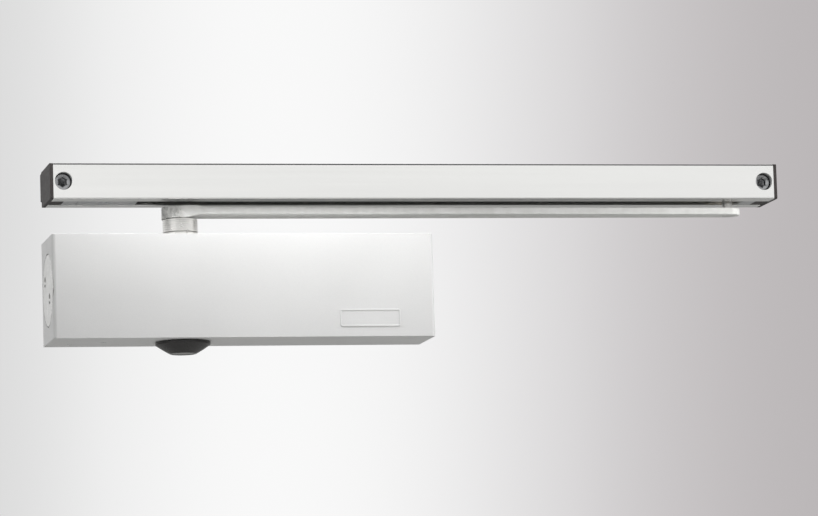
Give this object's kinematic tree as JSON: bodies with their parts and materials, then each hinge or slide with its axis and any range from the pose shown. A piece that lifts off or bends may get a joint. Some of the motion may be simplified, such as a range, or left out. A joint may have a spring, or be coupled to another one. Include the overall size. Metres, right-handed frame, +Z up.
{
  "type": "slide arm door closer",
  "caption": "Surface-mounted hydraulic door closer with a rack and pinion body, a single arm and a slider that runs in a slotted guide rail, shown shut.",
  "frame": {"origin": "on the door's face, behind the spindle's axis, at half the height of the closer's body", "axes": "+X along the door, from the spindle towards the slider; +Y into the door; +Z up"},
  "size_m": [0.44, 0.0664, 0.1102],
  "materials": {
    "cover_paint": "satin silver paint",
    "badge_paint": "satin silver paint",
    "arm_paint": "silver paint on a rough casting",
    "rail_aluminium": "satin anodised extrusion",
    "cast_aluminium": "die cast",
    "machined_aluminium": "turned",
    "zinc_die_cast": "die cast block",
    "zinc_plated_steel": "zinc plated",
    "machined_steel": "turned and milled",
    "spring_steel": "shot peened",
    "bearing_bronze": "sintered bronze",
    "valve_brass": "turned brass",
    "seal_rubber": "black nitrile rubber",
    "cap_plastic": "moulded dark grey",
    "black_plastic": "moulded black",
    "slider_plastic": "acetal"
  },
  "bodies": {
    "closer_body": {"mounting_plate": "zinc_plated_steel", "housing": "cast_aluminium", "housing_screws": "zinc_plated_steel", "cover": "cover_paint", "cover_screws": "zinc_plated_steel", "badge_plate": "badge_paint", "left_end_plug": "machined_aluminium", "right_end_plug": "machined_aluminium", "plug_seals": "seal_rubber", "valve_seals": "seal_rubber", "adjuster_seal": "seal_rubber", "thrust_washer": "bearing_bronze", "upper_bearing": "machined_steel", "lower_bearing": "machined_steel", "upper_bearing_cap": "machined_steel", "lower_bearing_cap": "machined_steel", "upper_shaft_seal": "seal_rubber", "lower_shaft_seal": "seal_rubber", "spindle_end_cap": "black_plastic", "outer_spring": "spring_steel", "inner_spring": "spring_steel"},
    "arm": {"pinion_spindle": "machined_steel", "spindle_collar": "machined_steel", "lever_arm": "arm_paint", "arm_washer": "zinc_plated_steel", "arm_screw": "zinc_plated_steel", "slider_pin": "machined_steel", "pin_clip": "spring_steel"},
    "piston": {"rack_piston": "machined_steel", "piston_seal": "seal_rubber", "check_valve": "valve_brass"},
    "force_adjuster": {"adjusting_screw": "machined_steel"},
    "spring_seat": {"spring_seat": "machined_steel"},
    "closing_valve": {"closing_speed_valve": "zinc_plated_steel"},
    "latch_valve": {"latching_valve": "zinc_plated_steel"},
    "slider": {"slider_block": "slider_plastic", "slider_bush": "bearing_bronze"},
    "rail": {"rail_profile": "rail_aluminium", "left_rail_cap": "cap_plastic", "right_rail_cap": "cap_plastic", "left_fixing_block": "zinc_die_cast", "right_fixing_block": "zinc_die_cast", "left_rail_bracket": "cap_plastic", "right_rail_bracket": "cap_plastic", "rail_screws": "zinc_plated_steel", "stop_block": "zinc_die_cast", "stop_screw": "zinc_plated_steel", "stop_buffer": "seal_rubber"}
  },
  "joints": [
    {"name": "spindle_turn", "type": "hinge", "parent": "closer_body", "child": "arm", "pos_m": [0, -0.024, 0.045], "axis": [0, 0, 1], "range_deg": [0, 150], "stiffness_Nm_per_rad": 4, "springref_deg": -143.24},
    {"name": "piston_slide", "type": "slide", "parent": "closer_body", "child": "piston", "axis": [1, 0, 0], "range_m": [0, 0.02357], "deforming": ["outer_spring", "inner_spring"]},
    {"name": "force_adjuster_turn", "type": "hinge", "parent": "closer_body", "child": "force_adjuster", "pos_m": [0.1458, -0.024, 0], "axis": [1, 0, 0], "range_deg": [0, 2520]},
    {"name": "spring_seat_slide", "type": "slide", "parent": "closer_body", "child": "spring_seat", "axis": [1, 0, 0], "range_m": [-0.014, 0]},
    {"name": "closing_speed_valve_turn", "type": "hinge", "parent": "closer_body", "child": "closing_valve", "pos_m": [-0.0778, -0.0125, 0.0064], "axis": [1, 0, 0], "range_deg": [0, 540]},
    {"name": "latching_valve_turn", "type": "hinge", "parent": "closer_body", "child": "latch_valve", "pos_m": [-0.0778, -0.0307, -0.0055], "axis": [1, 0, 0], "range_deg": [0, 540]},
    {"name": "slider_swivel", "type": "hinge", "parent": "arm", "child": "slider", "pos_m": [0.335, -0.024, 0.06], "axis": [0, 0, 1], "range_deg": [-80, 10]},
    {"name": "rail_slide", "type": "slide", "parent": "slider", "child": "rail", "axis": [1, 0, 0], "range_m": [0, 0.347]}
  ],
  "couplings": [
    {"joint": "piston_slide", "follows": "spindle_turn", "m_per_rad": 0.009},
    {"joint": "force_adjuster_turn", "follows": "spring_seat_slide", "rad_per_m": -3141.6}
  ]
}
